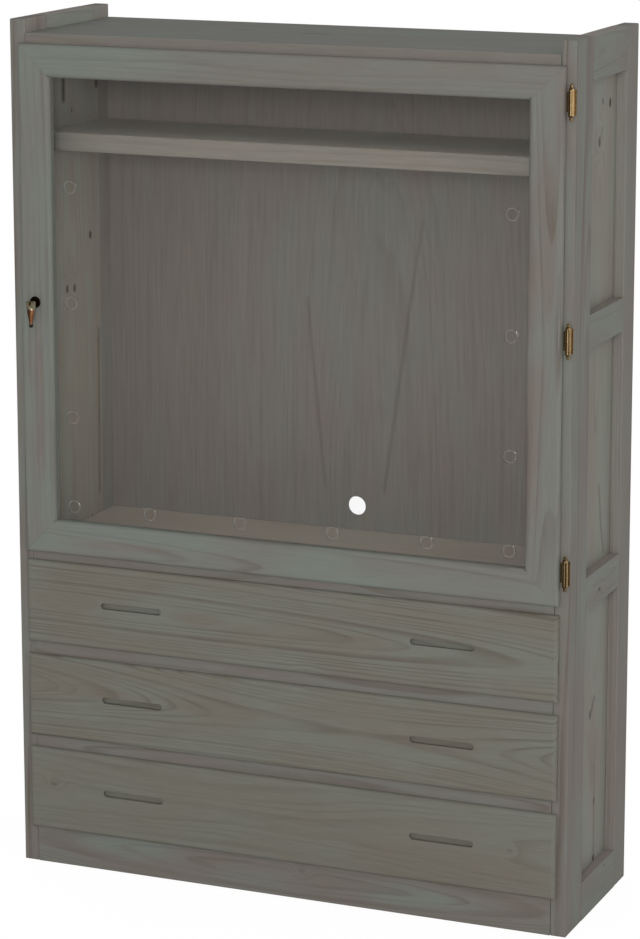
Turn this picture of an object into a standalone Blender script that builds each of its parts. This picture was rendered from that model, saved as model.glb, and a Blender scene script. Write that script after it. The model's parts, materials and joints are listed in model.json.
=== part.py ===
"""A tall TV wall unit in solid pine: a glazed locking door over three drawers.

The model is in metres, with +Z up and the front facing -Y. Every piece is placed in the
cabinet's own coordinates: x from the middle, y from the front edges of the sides and z from
the floor. The empty named cabinet then centres the whole unit over the origin.
"""

import math

import bmesh
import bpy
from mathutils import Vector

# Whole cabinet
WIDTH = 1.118
HEIGHT = 1.651
DEPTH = 0.356

# Values that several pieces share
FIT = 0.0003  # gap between two pieces that touch
EASE = 0.002  # sanded arris of a solid wood piece
ARRIS = 0.0008  # sanded arris of a small piece
PASS = 0.004  # overrun of a cutter past the face that it enters
FRAME_THICK = 0.030  # side frames and top board
PLY_THICK = 0.0064  # back and drawer bottoms
LEAF_THICK = 0.001  # brass of the hinge leaves
RUN_GAP = 0.0001  # radial clearance of a turning fit

# Side frames
FRONT_STILE = 0.092
REAR_STILE = 0.0635
SIDE_TOP_RAIL = 0.080
SIDE_MID_RAIL = 0.0635
SIDE_BOTTOM_RAIL = 0.073
PANEL_THICK = 0.0095  # solid pine, let in flush with the inside of the frame
PANEL_LAP = 0.012

# Top, back, deck and shelf
CHEEK = 0.0254  # how far the sides rise above the top board
BACK_LAP = 0.010
BACK_CLEAR = 0.012
DECK_THICK = 0.019
DECK_RAIL_DEEP = 0.045
SHELF_THICK = 0.035
SHELF_HEADROOM = 0.1646  # shelf's top face to the top board
SHELF_FRONT = 0.075
SHELF_BACK_GAP = 0.0466
CABLE_HOLE = 0.038
CABLE_HOLE_X = 0.002
CABLE_HOLE_Z = 0.687

# Front: lipped drawer fronts and door, and the rails that they lap over
REVEAL = 0.019  # side edge left showing beside a front
TOE_SHOW = 0.0716
DRAWER_TALL = 0.1644
DRAWER_SPACE = 0.0236
DOOR_SPACE = 0.016
TOP_SHOW = 0.0196
RAIL_DEEP = 0.025
TOE_THICK = 0.019
LIP_THICK = 0.0095
INNER_THICK = 0.0095
FRONT_ROUND = 0.008
FRONT_STEPS = 4

# Drawers
DRAWERS = 3
SLOT_LONG = 0.127
SLOT_TALL = 0.0127
SLOT_DEEP = 0.008
SLOT_SPREAD = 0.317  # slot middle from the middle of the front
SLOT_LIFT = 0.005
SLOT_STEPS = 8
BOX_WALL = 0.015
BOX_TALL = 0.118
BOX_LIFT = 0.008
BOX_GAP = 0.004
BOX_BACK_GAP = 0.014
BOTTOM_LIFT = 0.008
BOTTOM_TONGUE = 0.006
RUNNER_TALL = 0.019
RUNNER_WIDE = 0.011
RUNNER_FRONT = 0.030
RUNNER_BACK_GAP = 0.020
RUNNER_GROOVE_LIFT = 0.050

# Door
DOOR_STILE = 0.0667
DOOR_TOP_RAIL = 0.062
DOOR_BOTTOM_RAIL = 0.0667
SIGHT_DEEP = 0.0127  # from the face of the door back to the glazing
GLAZING_THICK = 0.003
GLAZING_TONGUE = 0.009
MITRE_GAP = 0.00022
VENT = 0.0254
VENT_EDGE_X = 0.033
VENT_EDGE_Z = 0.027
VENT_ROW_STEP = 0.187
VENT_COLUMN_STEP = 0.2205
VENT_STEPS = 32

# Hinges
HINGE_FROM_END = 0.0635  # middle of an outer hinge from the end of the door
HINGE_INSET = 0.0085  # pin from the outer face of the side
BARREL = 0.011
BARREL_LONG = 0.046
END_KNUCKLE = 0.0045
PIN = 0.005
FINIAL_LONG = 0.0098
# Distance from the barrel and radius, as shares of FINIAL_LONG and of the barrel's radius
FINIAL_SHARES = (
    (0.0, 0.98), (0.14, 0.92), (0.32, 0.62), (0.44, 0.50),
    (0.54, 0.50), (0.64, 0.64), (0.80, 0.64), (0.93, 0.40), (1.0, 0.14),
)
LEAF_BITE = 0.0003  # how far a leaf runs into its barrel
LEAF_BACK = 0.025
LEAF_EDGE = 0.0005  # hinge leaf from the outer face of the side
LEAF_START = 0.0044  # frame leaf from the pin's axis
LEAF_INSET = 0.0004  # leaf from the ends of its knuckle
ROUND_STEPS = 24

# Lock and key
LOCK_INSET = 0.031  # lock from the edge of the door
FLANGE = 0.022
FLANGE_THICK = 0.0025
LOCK_BODY = 0.016
LOCK_TAIL = 0.0045
NUT_ACROSS = 0.023
NUT_THICK = 0.0035
NUT_SIDES = 6
PLUG = 0.011
BOSS = 0.006
CAM_THICK = 0.002
CAM_LONG = 0.0162
CAM_WIDE = 0.011
KEYWAY_WIDE = 0.0024
KEYWAY_TALL = 0.0078
KEYWAY_DEEP = 0.013
KEY_REACH = 0.017  # key pivot in front of the lock flange
KEY_SHANK = 0.004
KEY_EYE = 0.008
KEY_EYE_WIDE = 0.004
GRIP_PIN = 0.003
GRIP_PIN_LONG = 0.012
GRIP_HEAD = 0.0095
GRIP_WIDE = 0.016
GRIP_LONG = 0.040
# Distance below the pin, width and depth, as shares of GRIP_LONG, GRIP_WIDE and GRIP_HEAD
GRIP_SHARES = (
    (0.265, 1.0, 1.0), (0.285, 0.88, 0.84), (0.31, 0.88, 0.84), (0.335, 0.97, 0.94),
    (0.50, 0.87, 0.85), (0.68, 0.66, 0.72), (0.86, 0.44, 0.60), (1.0, 0.34, 0.55),
)
GRIP_TIP = 0.008
TIP_STEPS = 8
STRIKE_THICK = 0.0015
STRIKE_TALL = 0.044
STRIKE_DEEP = 0.020
STRIKE_REACH = 0.0062
STRIKE_GAP = 0.0012

# Places that follow from those sizes
OVERLAY = FRAME_THICK - REVEAL
LEAF_SPACE = LEAF_THICK + 2 * FIT
LIP_BACK = -LEAF_SPACE
FACE = LIP_BACK - LIP_THICK
INNER_BACK = LIP_BACK + INNER_THICK
DRAWER_FACE = -FIT - LIP_THICK
DRAWER_INNER_BACK = -FIT + INNER_THICK
INSIDE = WIDTH / 2 - FRAME_THICK
FRONT_EDGE = WIDTH / 2 - REVEAL
BACK_FACE = DEPTH - PLY_THICK
DRAWER_STEP = DRAWER_TALL + DRAWER_SPACE
DOOR_BOTTOM = TOE_SHOW + DRAWERS * DRAWER_STEP - DRAWER_SPACE + DOOR_SPACE
DOOR_TOP = HEIGHT - CHEEK - TOP_SHOW
DOOR_MIDDLE = (DOOR_BOTTOM + DOOR_TOP) / 2
DECK_TOP = DOOR_BOTTOM + OVERLAY
CEILING = HEIGHT - CHEEK - FRAME_THICK
PIN_X = WIDTH / 2 - HINGE_INSET
PIN_Y = -(FIT + LEAF_THICK - LEAF_BITE) - BARREL / 2
LOCK_X = -FRONT_EDGE + LOCK_INSET
FLANGE_FRONT = FACE - FLANGE_THICK
KEY_Y = FLANGE_FRONT - KEY_REACH
FOREMOST = KEY_Y - GRIP_HEAD / 2
FRONT_PLANE = -(DEPTH + FOREMOST) / 2


def clear_scene():
    for old in list(bpy.data.objects):
        bpy.data.objects.remove(old, do_unlink=True)


def material(name, colour, roughness, metallic=0.0, transmission=0.0):
    """A plain Principled material in the photographed colour."""
    made = bpy.data.materials.new(name)
    made.use_nodes = True
    shader = made.node_tree.nodes["Principled BSDF"]
    shader.inputs["Base Color"].default_value = (*colour, 1.0)
    shader.inputs["Roughness"].default_value = roughness
    shader.inputs["Metallic"].default_value = metallic
    shader.inputs["Transmission Weight"].default_value = transmission
    made.diffuse_color = (*colour, 1.0)
    return made


def axis_empty(name, place, parent=None):
    """An empty at a place in the cabinet's coordinates."""
    made = bpy.data.objects.new(name, None)
    bpy.context.scene.collection.objects.link(made)
    made.parent = parent
    made["place"] = place
    made.location = Vector(place) - (Vector(parent["place"]) if parent else Vector())
    return made


def add_object(name, shape, place, parent, finish=None):
    """An object of this bmesh, whose points count from a place in the cabinet's coordinates."""
    bmesh.ops.recalc_face_normals(shape, faces=shape.faces)
    mesh = bpy.data.meshes.new(name)
    shape.to_mesh(mesh)
    shape.free()
    made = bpy.data.objects.new(name, mesh)
    bpy.context.scene.collection.objects.link(made)
    made.parent = parent
    made.location = Vector(place) - Vector(parent["place"])
    if finish:
        mesh.materials.append(finish)
    else:
        made.hide_render = True
        made.display_type = "WIRE"
    return made


def smooth(made):
    """Shades a turned piece smooth, with its shoulders left sharp."""
    made.data.shade_smooth()
    made.data.set_sharp_from_angle(angle=math.radians(40))
    return made


def block(name, low, high, parent, finish=None, ease=0.0):
    """A box from its lowest to its highest corner, with eased edges."""
    low, high = Vector(low), Vector(high)
    shape = bmesh.new()
    bmesh.ops.create_cube(shape, size=1)
    bmesh.ops.scale(shape, vec=high - low, verts=shape.verts)
    if ease:
        bmesh.ops.bevel(shape, geom=shape.edges[:], offset=ease, segments=2, profile=0.5, affect="EDGES")
    return add_object(name, shape, (low + high) / 2, parent, finish)


def prism(name, outline, low, high, axis, parent, finish=None):
    """An outline extruded from low to high. It lies in XY, XZ or YZ for the axis Z, Y or X."""
    shape = bmesh.new()
    rings = []
    for level in (low, high):
        points = {
            "Z": [(a, b, level) for a, b in outline],
            "Y": [(a, level, b) for a, b in outline],
            "X": [(level, a, b) for a, b in outline],
        }[axis]
        rings.append([shape.verts.new(point) for point in points])
    bridge(shape, rings)
    return add_object(name, shape, (0, 0, 0), parent, finish)


def bridge(shape, rings):
    """Walls between each ring of points and the next, and a face at both ends."""
    for ring, following in zip(rings, rings[1:]):
        for i, start in enumerate(ring):
            j = (i + 1) % len(ring)
            shape.faces.new((start, ring[j], following[j], following[i]))
    shape.faces.new(rings[0])
    shape.faces.new(rings[-1])


def arc(centre, radius, start, end, steps):
    """Points on an arc, from one angle to another in degrees, with both ends."""
    angles = [math.radians(start + (end - start) * i / steps) for i in range(steps + 1)]
    return [(centre[0] + radius * math.cos(a), centre[1] + radius * math.sin(a)) for a in angles]


def turned(name, profile, place, axis, parent, finish=None, steps=ROUND_STEPS, first=0.0):
    """A turned solid. Its profile lists (distance along the axis, radius), and its ends are flat.

    first is the angle in degrees at which its first corner lies.
    """
    shape = bmesh.new()
    rings = []
    for along, radius in profile:
        ring = []
        for i in range(steps):
            turn = math.radians(first + 360 * i / steps)
            a, b = radius * math.cos(turn), radius * math.sin(turn)
            ring.append(shape.verts.new({"X": (along, a, b), "Y": (a, along, b), "Z": (a, b, along)}[axis]))
        rings.append(ring)
    bridge(shape, rings)
    return smooth(add_object(name, shape, place, parent, finish))


def boolean(made, other, operation):
    step = made.modifiers.new(other.name, "BOOLEAN")
    step.operation = operation
    step.solver = "EXACT"
    step.object = other


def cut(made, *cutters):
    for cutter in cutters:
        boolean(made, cutter, "DIFFERENCE")


def join(made, *others):
    for other in others:
        boolean(made, other, "UNION")


def side_frame(word, side, cabinet, pine, back_cutter):
    """One side: two full-height stiles and four rails, with a panel let into their inner faces."""
    outer = side * WIDTH / 2
    inner = side * INSIDE
    x_low, x_high = min(outer, inner), max(outer, inner)
    rail_front = FRONT_STILE + FIT
    rail_back = DEPTH - REAR_STILE - FIT
    half_rail = SIDE_MID_RAIL / 2
    rails = [
        ("bottom_rail", 0.0, SIDE_BOTTOM_RAIL),
        ("lower_rail", DOOR_BOTTOM - half_rail, DOOR_BOTTOM + half_rail),
        ("upper_rail", DOOR_MIDDLE - half_rail, DOOR_MIDDLE + half_rail),
        ("top_rail", HEIGHT - SIDE_TOP_RAIL, HEIGHT),
    ]
    front = block(f"{word}_front_stile", (x_low, 0, 0), (x_high, FRONT_STILE, HEIGHT), cabinet, pine, EASE)
    rear_low = (x_low, DEPTH - REAR_STILE, 0)
    rear = block(f"{word}_rear_stile", rear_low, (x_high, DEPTH, HEIGHT), cabinet, pine, EASE)
    made_rails = [
        block(f"{word}_{name}", (x_low, rail_front, low), (x_high, rail_back, high), cabinet, pine, ARRIS)
        for name, low, high in rails
    ]
    cut(rear, back_cutter)
    face = inner + side * PANEL_THICK
    front_y, back_y = FRONT_STILE - PANEL_LAP, DEPTH - REAR_STILE + PANEL_LAP
    bottom, top = SIDE_BOTTOM_RAIL - PANEL_LAP, HEIGHT - SIDE_TOP_RAIL + PANEL_LAP
    low, high = (min(face, inner), front_y, bottom), (max(face, inner), back_y, top)
    block(f"{word}_panel", low, high, cabinet, pine)
    rebate_ends = sorted((face + side * FIT, inner - side * PASS))
    rebate_low = (rebate_ends[0], front_y - FIT, bottom - FIT)
    rebate_high = (rebate_ends[1], back_y + FIT, top + FIT)
    rebate = block(f"rebate_{word}", rebate_low, rebate_high, cabinet)
    for piece in (front, rear, *made_rails):
        cut(piece, rebate)


def carcass(cabinet, pine, ply):
    """The two sides and everything fixed between them."""
    lap = INSIDE + BACK_LAP
    back_low = (-lap, BACK_FACE, BACK_CLEAR)
    back_high = (lap, DEPTH, CEILING - FIT)
    back = block("back_panel", back_low, back_high, cabinet, ply)
    hole = turned(
        "cable_hole", [(-PASS, CABLE_HOLE / 2), (PLY_THICK + PASS, CABLE_HOLE / 2)],
        (CABLE_HOLE_X, BACK_FACE, CABLE_HOLE_Z), "Y", cabinet, steps=VENT_STEPS,
    )
    cut(back, hole)
    room_low = (-lap - FIT, BACK_FACE - FIT, BACK_CLEAR - FIT)
    back_cutter = block("back_rabbet", room_low, (lap + FIT, DEPTH + PASS, CEILING), cabinet)
    side_frame("left", -1, cabinet, pine, back_cutter)
    side_frame("right", 1, cabinet, pine, back_cutter)

    reach = INSIDE - FIT
    block("top_board", (-reach, 0, CEILING), (reach, DEPTH, CEILING + FRAME_THICK), cabinet, pine, EASE)
    drawer_one_top = DOOR_BOTTOM - DOOR_SPACE
    rail_low = (-reach, 0, drawer_one_top - OVERLAY)
    block("deck_rail", rail_low, (reach, DECK_RAIL_DEEP, DECK_TOP), cabinet, pine, ARRIS)
    deck_low = (-reach, DECK_RAIL_DEEP + FIT, DECK_TOP - DECK_THICK)
    block("tv_deck", deck_low, (reach, BACK_FACE - FIT, DECK_TOP), cabinet, pine, ARRIS)
    shelf_top = CEILING - SHELF_HEADROOM
    shelf_low = (-reach, SHELF_FRONT, shelf_top - SHELF_THICK)
    block("shelf", shelf_low, (reach, BACK_FACE - SHELF_BACK_GAP, shelf_top), cabinet, pine, EASE)
    block("toe_rail", (-reach, 0, 0), (reach, TOE_THICK, TOE_SHOW + OVERLAY), cabinet, pine, ARRIS)
    for i, word in enumerate(("lower", "upper")):
        gap_low = TOE_SHOW + DRAWER_TALL + i * DRAWER_STEP
        low = (-reach, 0, gap_low - OVERLAY)
        high = (reach, RAIL_DEEP, gap_low + DRAWER_SPACE + OVERLAY)
        block(f"{word}_drawer_rail", low, high, cabinet, pine, ARRIS)


def stadium(middle_x, middle_z, long, tall):
    """A slot outline in XZ: two straight sides and two round ends."""
    radius = tall / 2
    straight = long / 2 - radius
    right = arc((middle_x + straight, middle_z), radius, -90, 90, SLOT_STEPS)
    left = arc((middle_x - straight, middle_z), radius, 90, 270, SLOT_STEPS)
    return right + left


def lipped_front(name, bottom, parent, finish):
    """A drawer front: a rounded lip that laps the opening and a thinner part inside it."""
    half_height = DRAWER_TALL / 2
    shape = bmesh.new()
    bmesh.ops.create_cube(shape, size=1)
    bmesh.ops.scale(shape, vec=(2 * FRONT_EDGE, LIP_THICK, DRAWER_TALL), verts=shape.verts)
    front_edges = [e for e in shape.edges if all(v.co.y < 0 for v in e.verts)]
    bmesh.ops.bevel(
        shape, geom=front_edges, offset=FRONT_ROUND, segments=FRONT_STEPS, profile=0.5, affect="EDGES",
    )
    back = max(shape.faces, key=lambda face: face.calc_center_median().y)
    bmesh.ops.inset_region(shape, faces=[back], thickness=OVERLAY + LEAF_SPACE, use_even_offset=True)
    grown = bmesh.ops.extrude_discrete_faces(shape, faces=[back])["faces"][0]
    bmesh.ops.translate(shape, vec=(0, INNER_THICK, 0), verts=grown.verts)
    place = (0, DRAWER_FACE + LIP_THICK / 2, bottom + half_height)
    return add_object(name, shape, place, parent, finish)


def drawer(i, word, cabinet, pine, drawer_pine, ply, hardwood):
    """One drawer, counted from the bottom, on an axis empty that slides along -Y, and its runners."""
    bottom = TOE_SHOW + i * DRAWER_STEP
    opening = bottom + OVERLAY
    middle = bottom + DRAWER_TALL / 2
    axis = axis_empty(f"drawer_{word}_slide", (0, DRAWER_FACE, middle), cabinet)

    front = lipped_front(f"drawer_{word}_front", bottom, axis, pine)
    for side, name in ((-1, "left"), (1, "right")):
        outline = stadium(side * SLOT_SPREAD, middle + SLOT_LIFT, SLOT_LONG, SLOT_TALL)
        slot_back = DRAWER_FACE + SLOT_DEEP
        cut(front, prism(f"{name}_slot_{word}", outline, DRAWER_FACE - PASS, slot_back, "Y", axis))

    outside = INSIDE - BOX_GAP
    box_front = DRAWER_INNER_BACK + FIT
    box_back = BACK_FACE - BOX_BACK_GAP
    low, high = opening + BOX_LIFT, opening + BOX_LIFT + BOX_TALL
    box_corner = (outside, box_back, high)
    box = block(f"drawer_{word}_box", (-outside, box_front, low), box_corner, axis, drawer_pine)
    hollow_low = (BOX_WALL - outside, box_front - PASS, low - PASS)
    hollow_high = (outside - BOX_WALL, box_back - BOX_WALL, high + PASS)
    cut(box, block(f"hollow_{word}", hollow_low, hollow_high, axis))

    wide = outside - BOX_WALL + BOTTOM_TONGUE
    floor_low = Vector((-wide, DRAWER_INNER_BACK - BOTTOM_TONGUE, low + BOTTOM_LIFT))
    floor_high = Vector((wide, box_back - BOX_WALL + BOTTOM_TONGUE, low + BOTTOM_LIFT + PLY_THICK))
    block(f"drawer_{word}_bottom", floor_low, floor_high, axis, ply)
    room = Vector((FIT, FIT, FIT))
    floor_groove = block(f"floor_groove_{word}", floor_low - room, floor_high + room, axis)
    cut(box, floor_groove)
    cut(front, floor_groove)

    groove_low = low + RUNNER_GROOVE_LIFT
    runner_back = BACK_FACE - RUNNER_BACK_GAP
    for side, name in ((-1, "left"), (1, "right")):
        wall = side * (INSIDE - FIT)
        tip = wall - side * RUNNER_WIDE
        runner_low = (min(wall, tip), RUNNER_FRONT, groove_low)
        runner_high = (max(wall, tip), runner_back, groove_low + RUNNER_TALL)
        block(f"{name}_runner_{word}", runner_low, runner_high, cabinet, hardwood, ARRIS)
        start = side * (outside + PASS)
        end = tip - side * FIT
        groove = block(
            f"{name}_runner_groove_{word}",
            (min(start, end), RUNNER_FRONT - FIT, groove_low - FIT),
            (max(start, end), box_back + PASS, groove_low + RUNNER_TALL + FIT),
            axis,
        )
        cut(box, groove)


def door_profile(w):
    """Section of a door frame member w wide: u from its outer edge inwards, v from the face back."""
    r = FRONT_ROUND
    inner_edge = OVERLAY + LEAF_SPACE
    full = LIP_THICK + INNER_THICK
    seat_front = SIGHT_DEEP - FIT
    seat_back = SIGHT_DEEP + GLAZING_THICK + FIT
    seat = w - GLAZING_TONGUE - FIT
    outer_round = arc((r, r), r, 180, 270, FRONT_STEPS)
    inner_round = arc((w - r, r), r, 270, 360, FRONT_STEPS)
    groove = [(w, seat_front), (seat, seat_front), (seat, seat_back), (w, seat_back)]
    back = [(w, full), (inner_edge, full), (inner_edge, LIP_THICK), (0, LIP_THICK)]
    return outer_round + inner_round + groove + back


def door_member(name, place_of, start, end, widths, axis, finish):
    """A mitred member. place_of turns (u, depth, along) into the cabinet's coordinates.

    widths are the member's own and those of the members that it meets at its start and end.
    """
    own, at_start, at_end = widths
    shape = bmesh.new()
    rings = [[], []]
    for u, v in door_profile(own):
        first = start + MITRE_GAP + u * at_start / own
        last = end - MITRE_GAP - u * at_end / own
        rings[0].append(shape.verts.new(place_of(u, FACE + v, first)))
        rings[1].append(shape.verts.new(place_of(u, FACE + v, last)))
    bridge(shape, rings)
    return add_object(name, shape, (0, 0, 0), axis, finish)


def door(cabinet, pine, acrylic):
    """The mitred frame and its vented acrylic sheet, on the hinge axis."""
    axis = axis_empty("door_axis", (PIN_X, PIN_Y, DOOR_MIDDLE), cabinet)
    left, right = -FRONT_EDGE, FRONT_EDGE
    uprights = (DOOR_BOTTOM, DOOR_TOP, (DOOR_STILE, DOOR_BOTTOM_RAIL, DOOR_TOP_RAIL), axis, pine)
    stile = door_member("door_left_stile", lambda u, y, z: (left + u, y, z), *uprights)
    door_member("door_right_stile", lambda u, y, z: (right - u, y, z), *uprights)
    top = (left, right, (DOOR_TOP_RAIL, DOOR_STILE, DOOR_STILE), axis, pine)
    door_member("door_top_rail", lambda u, y, x: (x, y, DOOR_TOP - u), *top)
    bottom = (left, right, (DOOR_BOTTOM_RAIL, DOOR_STILE, DOOR_STILE), axis, pine)
    door_member("door_bottom_rail", lambda u, y, x: (x, y, DOOR_BOTTOM + u), *bottom)

    bore = LOCK_BODY / 2 + FIT
    lock_place = (LOCK_X, FACE, DOOR_MIDDLE)
    full = LIP_THICK + INNER_THICK
    cut(stile, turned("lock_bore", [(-PASS, bore), (full + PASS, bore)], lock_place, "Y", axis))

    sight_x = FRONT_EDGE - DOOR_STILE
    sight_low, sight_high = DOOR_BOTTOM + DOOR_BOTTOM_RAIL, DOOR_TOP - DOOR_TOP_RAIL
    sheet_front = FACE + SIGHT_DEEP
    sheet_low = (-sight_x - GLAZING_TONGUE, sheet_front, sight_low - GLAZING_TONGUE)
    sheet_high = (sight_x + GLAZING_TONGUE, sheet_front + GLAZING_THICK, sight_high + GLAZING_TONGUE)
    sheet = block("door_glazing", sheet_low, sheet_high, axis, acrylic)
    edge_x = sight_x - VENT_EDGE_X
    row_z = sight_low + VENT_EDGE_Z
    row = [(k + 0.5) * VENT_ROW_STEP for k in (-2, -1, 0, 1)]
    vents = [(x, row_z) for x in (-edge_x, *row, edge_x)]
    vents += [(x, DOOR_MIDDLE + k * VENT_COLUMN_STEP) for x in (-edge_x, edge_x) for k in (-1, 0, 1)]
    # Each hole is turned a little further, so that the corners of no three holes lie in a line.
    through = [(-PASS, VENT / 2), (GLAZING_THICK + PASS, VENT / 2)]
    for i, (x, z) in enumerate(vents):
        first = 360 / VENT_STEPS * i / len(vents)
        place = (x, sheet_front, z)
        cut(sheet, turned(f"vent_{i + 1}", through, place, "Y", axis, steps=VENT_STEPS, first=first))
    return axis


def finial(end, side):
    """Profile of a hinge pin's tip, outwards from one end of the barrel."""
    long = FINIAL_LONG * side
    radius = BARREL / 2
    return [(end + long * long_share, radius * round_share) for long_share, round_share in FINIAL_SHARES]


def hinge(word, z, cabinet, door_axis, brass):
    """A semi-concealed hinge for a lipped door: a leaf on the side, one round the lip, and the pin."""
    half = BARREL_LONG / 2
    knuckle_end = half - END_KNUCKLE
    place = (PIN_X, PIN_Y, z)
    leaf_front, leaf_back = -(FIT + LEAF_THICK), -FIT
    plate_left = PIN_X + LEAF_START
    plate_right = WIDTH / 2 - LEAF_EDGE

    pin_half = PIN / 2
    lower = finial(-half, -1)[::-1]
    upper = finial(half, 1)
    shaft = [
        (-half, BARREL / 2), (-knuckle_end, BARREL / 2), (-knuckle_end, pin_half),
        (knuckle_end, pin_half), (knuckle_end, BARREL / 2), (half, BARREL / 2),
    ]
    leaf = turned(f"hinge_{word}_frame_leaf", lower + shaft + upper, place, "Z", cabinet, brass)
    tip, root = half - LEAF_INSET, knuckle_end + LEAF_INSET
    outline = [
        (PIN_X, z - tip), (plate_right, z - tip), (plate_right, z + tip), (PIN_X, z + tip),
        (PIN_X, z + root), (plate_left, z + root), (plate_left, z - root), (PIN_X, z - root),
    ]
    join(leaf, prism(f"plate_{word}", outline, leaf_front, leaf_back, "Y", cabinet))

    reach = knuckle_end - FIT
    strip_reach = reach - LEAF_INSET
    barrel_profile = [(-reach, BARREL / 2), (reach, BARREL / 2)]
    knuckle = turned(f"hinge_{word}_door_leaf", barrel_profile, place, "Z", door_axis, brass)
    inner_x = INSIDE - FIT
    outer_x = inner_x - LEAF_THICK
    back_y = INNER_BACK + FIT
    strip = [
        (PIN_X, leaf_front), (outer_x, leaf_front), (outer_x, back_y), (outer_x - LEAF_BACK, back_y),
        (outer_x - LEAF_BACK, back_y + LEAF_THICK), (inner_x, back_y + LEAF_THICK),
        (inner_x, leaf_back), (PIN_X, leaf_back),
    ]
    join(knuckle, prism(f"strip_{word}", strip, z - strip_reach, z + strip_reach, "Z", door_axis))
    bore = pin_half + RUN_GAP
    run = reach + PASS
    cut(knuckle, turned(f"pin_bore_{word}", [(-run, bore), (run, bore)], place, "Z", door_axis))


def lock(cabinet, door_axis, brass, dark_metal, steel):
    """The cam lock in the left stile, its folding key and the strike on the side."""
    place = (LOCK_X, FLANGE_FRONT, DOOR_MIDDLE)
    body_end = INNER_BACK + LOCK_TAIL - FLANGE_FRONT
    flange_end = FLANGE_THICK - FIT
    body = LOCK_BODY / 2
    rim = FLANGE / 2
    profile = [(0, rim - ARRIS), (ARRIS, rim), (flange_end, rim), (flange_end, body), (body_end, body)]
    housing = turned("lock_housing", profile, place, "Y", door_axis, dark_metal)
    bore = PLUG / 2 + RUN_GAP
    cut(housing, turned("plug_bore", [(-PASS, bore), (body_end + PASS, bore)], place, "Y", door_axis))
    nut_place = (LOCK_X, INNER_BACK + FIT, DOOR_MIDDLE)
    nut_profile = [(0, NUT_ACROSS / 2), (NUT_THICK, NUT_ACROSS / 2)]
    nut = turned("lock_nut", nut_profile, nut_place, "Y", door_axis, steel, steps=NUT_SIDES)
    nut_bore = body + FIT
    cut(nut, turned("nut_bore", [(-PASS, nut_bore), (NUT_THICK + PASS, nut_bore)], nut_place, "Y", door_axis))

    axis = axis_empty("lock_axis", place, door_axis)
    cam_start = body_end + FIT
    cam_end = cam_start + CAM_THICK
    boss_end = cam_end + CAM_THICK
    plug_profile = [(0, PLUG / 2), (body_end, PLUG / 2), (body_end, BOSS / 2), (boss_end, BOSS / 2)]
    plug = turned("lock_plug", plug_profile, place, "Y", axis, dark_metal)
    keyway_low = (LOCK_X - KEYWAY_WIDE / 2, FLANGE_FRONT - PASS, DOOR_MIDDLE - KEYWAY_TALL / 2)
    keyway_high = (LOCK_X + KEYWAY_WIDE / 2, FLANGE_FRONT + KEYWAY_DEEP, DOOR_MIDDLE + KEYWAY_TALL / 2)
    cut(plug, block("keyway", keyway_low, keyway_high, axis))

    half = CAM_WIDE / 2
    head = arc((LOCK_X, DOOR_MIDDLE), half, 0, 180, SLOT_STEPS)
    tail = [(LOCK_X - half, DOOR_MIDDLE - CAM_LONG), (LOCK_X + half, DOOR_MIDDLE - CAM_LONG)]
    cam_y = FLANGE_FRONT + cam_start
    cam = prism("lock_cam", head + tail, cam_y, cam_y + CAM_THICK, "Y", axis, steel)
    boss_bore = BOSS / 2 + RUN_GAP
    through = [(cam_start - PASS, boss_bore), (boss_end + PASS, boss_bore)]
    cut(cam, turned("boss_bore", through, place, "Y", axis))

    key_place = (LOCK_X, KEY_Y, DOOR_MIDDLE)
    eye_profile = [(-KEY_EYE_WIDE / 2, KEY_EYE / 2), (KEY_EYE_WIDE / 2, KEY_EYE / 2)]
    eye = turned("key", eye_profile, key_place, "X", axis, brass)
    shank_profile = [(0, KEY_SHANK / 2), (KEY_REACH - FIT, KEY_SHANK / 2)]
    shank = turned("key_shank", shank_profile, key_place, "Y", axis)
    blade_low = (keyway_low[0] + FIT, KEY_Y + KEY_REACH / 2, keyway_low[2] + FIT)
    blade_high = (keyway_high[0] - FIT, keyway_high[1] - FIT, keyway_high[2] - FIT)
    join(eye, shank, block("key_blade", blade_low, blade_high, axis))
    eye_bore = GRIP_PIN / 2 + RUN_GAP
    cut(eye, turned("eye_bore", [(-KEY_EYE, eye_bore), (KEY_EYE, eye_bore)], key_place, "X", axis))

    grip_axis = axis_empty("key_grip_axis", key_place, axis)
    key_grip(key_place, grip_axis, brass)

    plate_x = -INSIDE + FIT
    front_y = INNER_BACK + STRIKE_GAP
    limb_x, bend_x = plate_x + STRIKE_REACH, plate_x + STRIKE_THICK
    bend_y, back_y = front_y + STRIKE_THICK, front_y + STRIKE_DEEP
    outline = [
        (plate_x, front_y), (limb_x, front_y), (limb_x, bend_y),
        (bend_x, bend_y), (bend_x, back_y), (plate_x, back_y),
    ]
    low = DOOR_MIDDLE - STRIKE_TALL / 2
    prism("lock_strike", outline, low, low + STRIKE_TALL, "Z", cabinet, steel)


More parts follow.
